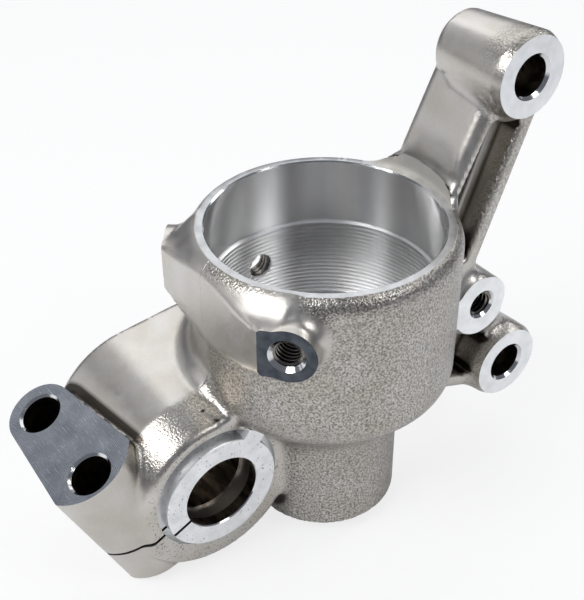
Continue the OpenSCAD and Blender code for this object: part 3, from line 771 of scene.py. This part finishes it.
# Each face takes the finish of the tool band that it lies on.
middle = np.empty(len(worked.polygons) * 3, np.float32)
worked.polygons.foreach_get("center", middle)
middle = middle.reshape(-1, 3)
index = np.zeros(len(middle), np.int32)
box_slack, hit_slack = 2e-5, 1.2e-5
for tool, finish in tools:
    box = np.array([v.co for v in tool.data.vertices])
    inside = (middle > box.min(0) - box_slack) & (middle < box.max(0) + box_slack)
    faces = [p.vertices for p in tool.data.polygons]
    search = BVHTree.FromPolygons([v.co for v in tool.data.vertices], faces)
    for k in np.flatnonzero(inside.all(1)):
        hit = search.find_nearest(Vector(middle[k]), hit_slack)
        if hit[0] is not None:
            band = tool.data.polygons[hit[2]].material_index
            index[k] = names.index(finish[min(band, len(finish) - 1)])
worked.polygons.foreach_set("material_index", index)
worked.polygons.foreach_set("use_smooth", np.ones(len(middle), bool))
worked.set_sharp_from_angle(angle=math.radians(30))
for tool, finish in tools:
    bpy.data.objects.remove(tool)

# The skin reads two measures at each point: how closed in it is, which paints shade
# into its colour, and how coarse. It is coarse on the body below the rim but not behind
# the ridge or on the flange, and half as coarse on the neck's near side and the ears.
points = np.empty(len(worked.vertices) * 3, np.float32)
worked.vertices.foreach_get("co", points)
points = points.reshape(-1, 3).astype(float) * 1000
slope = slope_of(casting_skin, points)
slope /= np.maximum(np.linalg.norm(slope, axis=1), 1e-6)[:, None]
reach = 3.2
closed = 1 - casting_skin(*(points + reach * slope).T) / reach
x, y, z = points.T
q, n = from_slit(y, z)
on_body = ease(body(x, y, z), 0.9, 0.1) * ease(flange(x, y, z), 0.6, 2.0)
on_body *= ease(x, ridge_x - 1, ridge_x + 2.0)
on_neck = 0.5 * ease(x, ridge_x, ridge_x + 0.4) * ease(x, 6.2, 4.5)
on_neck = on_neck * ease(y, -12.0, -16.0) * ease(z, -25.0, -28.0)
on_neck *= ease(n, -4.0, 4.0) * ease(q, -12.0, -6.0)
on_ears = ease(x, 5.0, 9.0) * ease(y, 30.0, 34.0) * 0.6
peel = np.maximum(on_body, np.maximum(on_neck, on_ears))
for name, values in (("painted_shade", ease(closed, 0.12, 0.9)), ("coarse", peel)):
    worked.attributes.new(name, "FLOAT", "POINT").data.foreach_set("value", values.astype(np.float32))

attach(casting, "root")
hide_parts("axle_bracket")

# The screw threads. The fork tube screws into a long fine thread, and the four small
# holes are tapped M6. Each thread is cut as one helix down its bore, and its ridge has
# a narrow flat on top.
pitch, ridge_sides, ridge_width = 1.0, 6, 0.49
tube_crest, tube_depth, tube_low, tube_turns = 23.5, 0.5, -33.6, 18.7
tap_crest, tap_depth, boss_tap, side_tap, cross_tap = 2.5, 0.42, 6.9, 13.7, -24.7

tree, shader = metal("fork thread", (0.6, 0.59, 0.58), 0.28, Anisotropic=0.8, Anisotropic_Rotation=0.25)
upright = own_space(tree, scale=(1, 1, 0.02))
coloured(tree, shader, drift(tree, upright, 11.0, (0.68, 0.67, 0.66), grey(0.86), 0.36, 0.64, 1.0))
bumped(tree, shader, noise(tree, own_space(tree, scale=(0.3, 0.3, 4)), 1.0), 0.01)
tree.links.new(round_z(tree), shader.inputs["Tangent"])

# The tapped threads are painted dark as the shade inside their holes.
tree, shader = metal("tapped", (0.22, 0.2, 0.18), 0.2)
bumped(tree, shader, noise(tree, own_space(tree), 0.4), 0.02)


def thread_tree():
    """Winds a ridge with a flat top into a helix along Z."""
    tree = bpy.data.node_groups.new("screw thread", "GeometryNodeTree")
    kinds = {"Radius": "Float", "Pitch": "Float", "Turns": "Float", "Depth": "Float"}
    kinds |= {"Steps": "Int", "Finish": "Material"}
    sockets = {}
    for name, kind in kinds.items():
        socket = tree.interface.new_socket(name=name, in_out="INPUT", socket_type="NodeSocket" + kind)
        sockets[name] = socket.identifier
    tree.interface.new_socket(name="Thread", in_out="OUTPUT", socket_type="NodeSocketGeometry")
    given = tree.nodes.new("NodeGroupInput").outputs
    result = tree.nodes.new("NodeGroupOutput")

    def scaled(value, factor):
        node = add(tree, "ShaderNodeMath", value, operation="MULTIPLY")
        node.inputs[1].default_value = factor
        return node.outputs[0]

    radius, length = given["Radius"], times(tree, given["Pitch"], given["Turns"])
    helix = add(tree, "GeometryNodeCurveSpiral", given["Steps"], given["Turns"], radius, radius, length)
    level = add(tree, "GeometryNodeSetCurveNormal", helix.outputs["Curve"], mode="Z_UP")
    half_side = math.pi / ridge_sides
    circle = add(tree, "GeometryNodeCurvePrimitiveCircle", Resolution=ridge_sides, Radius=1.0)
    flat = add(tree, "GeometryNodeTransform", circle.outputs["Curve"], Rotation=(0, 0, half_side))
    tall, wide = scaled(given["Depth"], 1 / math.cos(half_side)), scaled(given["Pitch"], ridge_width)
    size = add(tree, "ShaderNodeCombineXYZ", tall, wide, Z=1.0)
    section = add(tree, "GeometryNodeTransform", flat.outputs["Geometry"])
    tree.links.new(size.outputs["Vector"], section.inputs["Scale"])
    along, across = level.outputs["Curve"], section.outputs["Geometry"]
    ridge = add(tree, "GeometryNodeCurveToMesh", along, across, Fill_Caps=True)
    real = add(tree, "GeometryNodeRealizeInstances", ridge.outputs["Mesh"])
    dress = add(tree, "GeometryNodeSetMaterial", real.outputs["Geometry"])
    tree.links.new(given["Finish"], dress.inputs["Material"])
    tree.links.new(dress.outputs["Geometry"], result.inputs["Thread"])
    return tree, sockets


winding, sockets = thread_tree()


def thread(name, crest, depth, turns, at, way, steps, finish):
    """One thread with its crests at a radius, from a point along a line."""
    piece = piece_of(name, [(0, 0, 0)], [])
    wind = piece.modifiers.new("wind", "NODES")
    wind.node_group = winding
    sizes = {"Radius": (crest + depth) / 1000, "Pitch": pitch / 1000, "Turns": turns}
    sizes |= {"Depth": depth / 1000, "Steps": steps, "Finish": finishes[finish]}
    for socket, value in sizes.items():
        wind[sockets[socket]] = value
    made = settled(piece)
    turn = Vector(way).to_track_quat("Z", "Y").to_matrix().to_4x4()
    made.transform(Matrix.Translation(Vector(at) / 1000) @ turn)
    return outward(piece)


def tapped(name, turns, at, way):
    return thread(name, tap_crest, tap_depth, turns, at, way, 32, "tapped")


start = (0, 0, tube_low)
tube = thread("fork_tube_thread", tube_crest, tube_depth, tube_turns, start, UP, 160, "fork thread")
notch = rod("notch", tap_r, 20, 26, (0, 0, cross_z), LEFT, 64)
clear = tube.modifiers.new("notch", "BOOLEAN")
clear.operation, clear.solver, clear.object = "DIFFERENCE", "MANIFOLD", notch
settled(tube)
bpy.data.objects.remove(notch)
threads = [tube]
for name, side in (("boss_thread_right", 1), ("boss_thread_left", -1)):
    way = boss_way(side)
    threads.append(tapped(name, 6.0, along_boss(way, boss_face - boss_tap), way))
threads.append(tapped("side_boss_thread", 13.0, (side_boss_x - side_tap, *side_boss), RIGHT))
threads.append(tapped("cross_thread", 2.8, (cross_tap, 0, cross_z), LEFT))
for piece in threads:
    for face in piece.data.polygons:
        face.use_smooth = True
    piece.data.set_sharp_from_angle(angle=math.radians(50))
    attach(piece, "root")

# The studio: a pale table, even grey light from all round, seven soft boxes, and a
# camera that looks down on the socket from the right. To the camera alone the table and
# the backdrop glow white. A box has its angles round and up, distance, size and watts.
table_half, table_glow = 2, 0.78
soft_boxes = (
    (24, 40, 0.55, (0.2, 0.22), 0.65),
    (-88, 42, 0.55, (0.36, 0.22), 1.9),
    (88, 35, 0.55, (0.12, 0.3), 0.5),
    (148, 44, 0.6, (0.6, 0.5), 1.05),
    (-170, 36, 0.6, (0.4, 0.4), 0.22),
    (-130, 14, 0.6, (0.3, 0.3), 0.19),
    (144, 76, 0.6, (0.4, 0.4), 0.35),
)
lens, film_width, camera_at = 68.65, 36.0, (0.1527, -0.11756, 0.12206)
turn, lift, roll = math.radians(-35.58), math.radians(36.30), math.radians(-0.39)


def to_camera(tree):
    return add(tree, "ShaderNodeLightPath").outputs["Is Camera Ray"]


floor = bpy.data.objects.new("floor", bpy.data.meshes.new("floor"))
corners = [(table_half * x, table_half * y, cad_low[2]) for x, y in ((-1, -1), (1, -1), (1, 1), (-1, 1))]
floor.data.from_pydata(corners, [], [(0, 1, 2, 3)])
bpy.context.scene.collection.objects.link(floor)
table = bpy.data.materials.new("table")
table.use_nodes = True
tree = table.node_tree
board = tree.nodes["Principled BSDF"]
board.inputs["Base Color"].default_value = (*grey(0.97), 1)
board.inputs["Roughness"].default_value = 0.9
seen = add(tree, "ShaderNodeMath", to_camera(tree), operation="MULTIPLY")
seen.inputs[1].default_value = table_glow
glow = add(tree, "ShaderNodeEmission", Strength=1.0, Color=(1, 1, 1, 1))
mixed = add(tree, "ShaderNodeMixShader", seen.outputs[0], board.outputs[0], glow.outputs[0])
tree.links.new(mixed.outputs[0], tree.nodes["Material Output"].inputs["Surface"])
floor.data.materials.append(table)

world = bpy.context.scene.world or bpy.data.worlds.new("studio")
bpy.context.scene.world = world
world.use_nodes = True
tree = world.node_tree
room = tree.nodes["Background"]
room.inputs["Color"].default_value = (0.15, 0.16, 0.185, 1)
backdrop = add(tree, "ShaderNodeBackground", Strength=1.0, Color=(1, 1, 1, 1))
mixed = add(tree, "ShaderNodeMixShader", to_camera(tree), room.outputs[0], backdrop.outputs[0])
tree.links.new(mixed.outputs[0], tree.nodes["World Output"].inputs["Surface"])


def seen_from(azimuth, height):
    """The way to a place in the room, from its angles round and up in degrees."""
    return Vector((*around(azimuth, math.cos(math.radians(height))), math.sin(math.radians(height))))


for azimuth, height, away, size, energy in soft_boxes:
    box = bpy.data.objects.new("soft box", bpy.data.lights.new("soft box", "AREA"))
    box.data.shape, box.data.energy = "RECTANGLE", energy
    box.data.size, box.data.size_y = size
    box.data.color = (0.97, 0.985, 1.0)
    way = seen_from(azimuth, height)
    aim = way.to_track_quat("Z", "Y").to_matrix().to_4x4()
    box.matrix_world = Matrix.Translation(way * away) @ aim
    bpy.context.scene.collection.objects.link(box)

camera = bpy.data.objects.new("camera", bpy.data.cameras.new("camera"))
bpy.context.scene.collection.objects.link(camera)
camera.data.lens, camera.data.sensor_width = lens, film_width
camera.data.clip_start, camera.data.clip_end = 0.01, 10
level = math.cos(lift)
back = Vector((level * math.cos(turn), level * math.sin(turn), math.sin(lift)))
right = (-back).cross(Vector(UP)).normalized()
down = (-back).cross(right)
cos, sin = math.cos(roll), math.sin(roll)
right, down = right * cos - down * sin, right * sin + down * cos
aim = Matrix((right, -down, back)).transposed().to_4x4()
camera.matrix_world = Matrix.Translation(camera_at) @ aim
bpy.context.scene.camera = camera
bpy.context.scene.view_settings.view_transform = "Standard"
